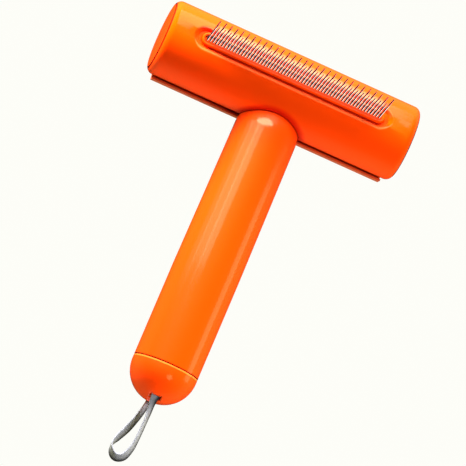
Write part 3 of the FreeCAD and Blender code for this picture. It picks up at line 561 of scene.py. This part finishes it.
def webbing(name, light, dark, warp_threads, weft_ribs):
    """Fine grosgrain: weft ribs across the band and warp threads along it, with painted shade
    darkening it towards one selvedge and over its inner face. Threads and ribs are counted per
    band width."""
    shader = Shader(bpy.data.materials.new(name))
    calc = shader.calc
    u, v, _ = shader.split(shader.node("UVMap", uv_map="band").outputs["UV"])

    # weave height, with loose fibres over it
    warp = calc("SINE", calc("MULTIPLY", u, 2 * math.pi * warp_threads))
    weft = calc("MULTIPLY", v, 2 * math.pi * weft_ribs)
    weft = calc("SINE", calc("ADD", weft, calc("MULTIPLY", warp, 0.9)))
    weave = calc("ADD", calc("MULTIPLY", warp, weft), weft)
    weave = calc("ADD", calc("MULTIPLY", weave, 0.25), 0.5)
    position = shader.position()
    fuzz = shader.noise(position, scale=3000.0, detail=4.0, roughness=0.7)
    slow = shader.noise(position, scale=220.0, detail=3.0, roughness=0.6)
    relief = calc("ADD", weave, calc("MULTIPLY", fuzz, 0.35))

    color = shader.ramp(relief, (0.18, dark), (0.62, light), (1.0, scaled(light, 1.15)))
    color = shader.mix(1.0, color, shader.ramp(slow, (0.3, 0.78), (0.7, 1.05)), "MULTIPLY")
    inside = calc("GREATER_THAN", u, 1.5)
    across = calc("SUBTRACT", u, calc("MULTIPLY", inside, INNER_SHIFT))
    # painted shade, darkest at one selvedge
    shade = shader.ramp(
        across, (0.05, 0.03), (0.20, 0.12), (0.36, 0.46), (0.55, 0.72), (0.82, 0.80), (1.0, 1.0)
    )
    color = shader.mix(1.0, color, shade, "MULTIPLY")
    # painted shade on the inner face
    color = shader.mix(inside, color, 0.82, "MULTIPLY")
    shader.principled({
        "Base Color": color,
        "Roughness": 0.72,
        "Sheen Weight": 0.15,
        "Sheen Roughness": 0.35,
        "Normal": shader.bump(relief, strength=0.7, distance=0.09 * MM),
    })
    return shader.block


ribbon_look = webbing(
    "grey_ribbon",
    light=(0.36, 0.365, 0.40),
    dark=(0.14, 0.143, 0.165),
    warp_threads=13,
    weft_ribs=11,
)
ribbon = make_ribbon("wrist_ribbon_woven")
ribbon.data.materials.append(ribbon_look)
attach(ribbon, "ribbon")
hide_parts("wrist_ribbon")

# ------------------------------------------------------------------ floor and world
PAPER = (0.985, 0.985, 0.935)  # floor and sky as the camera sees them
FLOOR_TINT = (1.0, 0.96, 0.34)  # floor as other rays meet it
SKY_TINT = (1.0, 0.95, 0.88)
FLOOR_HALF = 14.0
FLOOR_GAP = 0.0005
# strengths met by diffuse and by glossy rays
FLOOR_DIFFUSE, FLOOR_GLOSSY = 1.75, 0.05
SKY_DIFFUSE, SKY_GLOSSY = 0.03, 0.02
# beyond the head the floor grows brighter in the gloss
FAR_FLOOR_Y = (0.12, 0.16)
FAR_FLOOR_GAIN = 0.45


def make_floor():
    z = cad_box[0].z - FLOOR_GAP
    corners = ((-1, -1), (1, -1), (1, 1), (-1, 1))
    mesh = bpy.data.meshes.new("floor")
    mesh.from_pydata([(x * FLOOR_HALF, y * FLOOR_HALF, z) for x, y in corners], [], [(0, 1, 2, 3)])
    floor = bpy.data.objects.new("floor", mesh)
    bpy.context.scene.collection.objects.link(floor)
    return floor


def glowing_paper(name):
    """Paper that glows by a different amount for each kind of ray."""
    shader = Shader(bpy.data.materials.new(name))
    calc = shader.calc
    rays = shader.node("LightPath").outputs
    color = shader.mix(rays["Is Camera Ray"], FLOOR_TINT, PAPER)
    seen = calc("MULTIPLY", rays["Is Camera Ray"], 1.0)
    diffuse = calc("MULTIPLY", rays["Is Diffuse Ray"], FLOOR_DIFFUSE)
    y = shader.split(shader.node("NewGeometry").outputs["Position"])[1]
    gloss = shader.map_range(y, FAR_FLOOR_Y, (FLOOR_GLOSSY, FLOOR_GLOSSY + FAR_FLOOR_GAIN))
    glossy = calc("MULTIPLY", rays["Is Glossy Ray"], gloss)
    strength = calc("ADD", calc("ADD", seen, diffuse), glossy)
    shader.surface(shader.node("Emission", {"Color": color, "Strength": strength}))
    shader.block.cycles.emission_sampling = "NONE"
    return shader.block


def make_world(name):
    """Paper-coloured to the camera, almost dark to every other ray."""
    shader = Shader(bpy.data.worlds.new(name), "OutputWorld")
    rays = shader.node("LightPath").outputs
    seen = shader.node("Background", {"Color": rgba(PAPER), "Strength": 1.0})
    extra = shader.calc("MULTIPLY", rays["Is Glossy Ray"], SKY_GLOSSY - SKY_DIFFUSE)
    strength = shader.calc("ADD", extra, SKY_DIFFUSE)
    sky = shader.node("Background", {"Color": rgba(SKY_TINT), "Strength": strength})
    choice = {0: rays["Is Camera Ray"], 1: sky.outputs[0], 2: seen.outputs[0]}
    shader.surface(shader.node("MixShader", choice))
    shader.block.cycles.sampling_method = "NONE"
    return shader.block


floor = make_floor()
floor.data.materials.append(glowing_paper("pale_paper"))
bpy.context.scene.world = make_world("studio")


# ------------------------------------------------------------------ camera
CAMERA_DISTANCE = 2519.92 * MM
ELEVATION, YAW, ROLL = (math.radians(angle) for angle in (9.46, 6.71, 23.1))
CAMERA_TARGET = HEAD + Vector((3.89, -64.46, 0)) * MM
SENSOR_WIDTH = 36.0  # mm
LENS = 463.5193133  # mm


def make_camera():
    back = Vector((
        -math.sin(YAW),
        -math.sin(ELEVATION) * math.cos(YAW),
        math.cos(ELEVATION) * math.cos(YAW),
    )).normalized()
    up = Vector((0, 1, 0))
    up = (up - back * up.dot(back)).normalized()
    right = up.cross(back)
    rolled_right = right * math.cos(ROLL) + up * math.sin(ROLL)
    rolled_up = -right * math.sin(ROLL) + up * math.cos(ROLL)
    data = bpy.data.cameras.new("camera")
    camera = bpy.data.objects.new("camera", data)
    bpy.context.scene.collection.objects.link(camera)
    pose = Matrix((rolled_right, rolled_up, back)).transposed().to_4x4()
    pose.translation = CAMERA_TARGET + back * CAMERA_DISTANCE
    camera.matrix_world = pose
    data.sensor_width = SENSOR_WIDTH
    data.lens = LENS
    data.clip_start = 0.01
    data.clip_end = 100.0
    bpy.context.scene.camera = camera


make_camera()

# ------------------------------------------------------------------ lights
WARM = (1.0, 0.92, 0.60)
MID = HEAD + Vector((0, -0.06, 0))
DOME = HEAD + Vector((-0.0036, -0.0177, 0.013))
GRIP = HEAD + Vector((-0.004, -0.025, 0.013))
GRIP_PIECES = ("handle_shell", "handle_end_cap")


def area(name, direction, distance, size, power, at=MID, color=(1, 1, 1), gloss=False,
         shape="RECTANGLE", width_axis=None, only=()):
    """Area light standing `distance` from `at` along `direction` and facing back at it.

    It shows only in the gloss or only in diffuse light. `size` is its width and height,
    `width_axis` turns its width, and `only` names the pieces it lights."""
    data = bpy.data.lights.new(name, "AREA")
    data.shape = shape
    data.size, data.size_y = size
    data.energy = power
    data.color = color
    light = bpy.data.objects.new(name, data)
    bpy.context.scene.collection.objects.link(light)
    back = Vector(direction).normalized()
    if width_axis:
        wide = Vector(width_axis)
        wide = (wide - back * wide.dot(back)).normalized()
        pose = Matrix((wide, back.cross(wide), back)).transposed().to_4x4()
    else:
        pose = back.to_track_quat("Z", "Y").to_matrix().to_4x4()
    pose.translation = at + back * distance
    light.matrix_world = pose
    light.visible_camera = False
    light.visible_glossy = gloss
    light.visible_diffuse = not gloss
    if not gloss:
        # sampled only as a lamp, so that it isn't met again by a scattered ray
        data.cycles.use_multiple_importance_sampling = False
    if only:
        lit = bpy.data.collections.new(name + "_lights")
        for piece in only:
            lit.objects.link(nodes.get(piece) or bpy.data.objects[piece])
        light.light_linking.receiver_collection = lit


# soft light that shapes the body
area("key_left", (-0.62, 0.70, 0.35), distance=0.45, size=(0.30, 0.16), power=1.2, at=HEAD)
area("top_soft", (0, 0.88, 0.48), distance=0.6, size=(0.7, 0.2), power=14, at=HEAD)
area("left_near", (-0.788, 0.559, 0.256), distance=0.35, size=(0.13, 0.13), power=5.4,
     at=HEAD + Vector((0, -0.02, 0)))
area("right_rim", (0.985, 0.17, -0.02), distance=0.55, size=(0.10, 0.5), power=1.6)
area("right_near", (0.7, -0.1, 0.7), distance=0.16, size=(0.04, 0.10), power=0.4,
     at=MID + Vector((0, -0.05, 0)))
area("grip_wash", (-0.60, 0.25, 0.76), distance=0.40, size=(0.10, 0.06), power=0.9,
     at=HEAD + Vector((0, -0.045, 0)), width_axis=(0.8, 0, 0.6), only=["handle_shell"])
area("cap_fill", (-0.45, -0.70, 0.55), distance=0.20, size=(0.10, 0.10), power=0.14,
     at=Vector((-0.004, -0.032, 0.008)), only=["handle_end_cap"])
area("ribbon_fill", (-0.45, -0.85, 0.30), distance=0.20, size=(0.08, 0.08), power=0.10,
     color=(0.62, 0.68, 1.0), at=EYE + Vector((-0.004, -0.028, 0.001)),
     only=["wrist_ribbon_woven"])
area("lip_left", (-0.5, -0.5, 0.7), distance=0.20, size=(0.05, 0.05), power=0.05,
     at=HEAD + Vector((-0.035, -0.016, 0)), only=["rubber_scraper"])

# softboxes seen in the gloss
area("box_dome", (-0.36, 0.55, 0.75), distance=0.40, size=(0.42, 0.19), power=2.7, at=DOME,
     color=WARM, gloss=True, shape="ELLIPSE", width_axis=(0.92, 0.11, 0.38), only=GRIP_PIECES)
# name, direction, (width, height), power, width axis
GRIP_BOXES = (
    ("box_grip_a", (-0.52, 0.20, 0.83), (0.15, 0.14), 0.24, (0.85, 0, 0.5)),
    ("box_grip_b", (-0.80, 0.20, 0.57), (0.20, 0.14), 0.24, (0.6, 0, 0.8)),
    ("box_grip_c", (-0.95, 0.20, 0.25), (0.14, 0.16), 0.08, (0.2, 0, 0.98)),
)
for name, direction, size, power, width_axis in GRIP_BOXES:
    area(name, direction, distance=0.35, size=size, power=power, at=GRIP,
         color=WARM, gloss=True, width_axis=width_axis, only=GRIP_PIECES)
area("box_right", (0.985, 0.0, 0.16), distance=0.50, size=(0.19, 0.22), power=0.24,
     at=Vector((0, 0.05, 0)), color=(1.0, 1.0, 0.45), gloss=True, width_axis=(0, 0, 1),
     only=GRIP_PIECES)
area("box_cap", (0.32, -0.33, 0.88), distance=0.12, size=(0.034, 0.034), power=0.013,
     at=Vector((0.0015, -0.0272, 0.0139)), color=(1.0, 1.0, 0.35), gloss=True,
     only=["handle_end_cap"])
area("box_top", (0.05, 0.935, 0.355), distance=0.40, size=(0.30, 0.44), power=1.15,
     at=HEAD + Vector((-0.05, 0.007, 0.015)), color=WARM, gloss=True, width_axis=(1, 0, 0))

view = bpy.context.scene.view_settings
view.view_transform = "Standard"
view.look = "None"
view.exposure = 0.0
view.gamma = 1.0
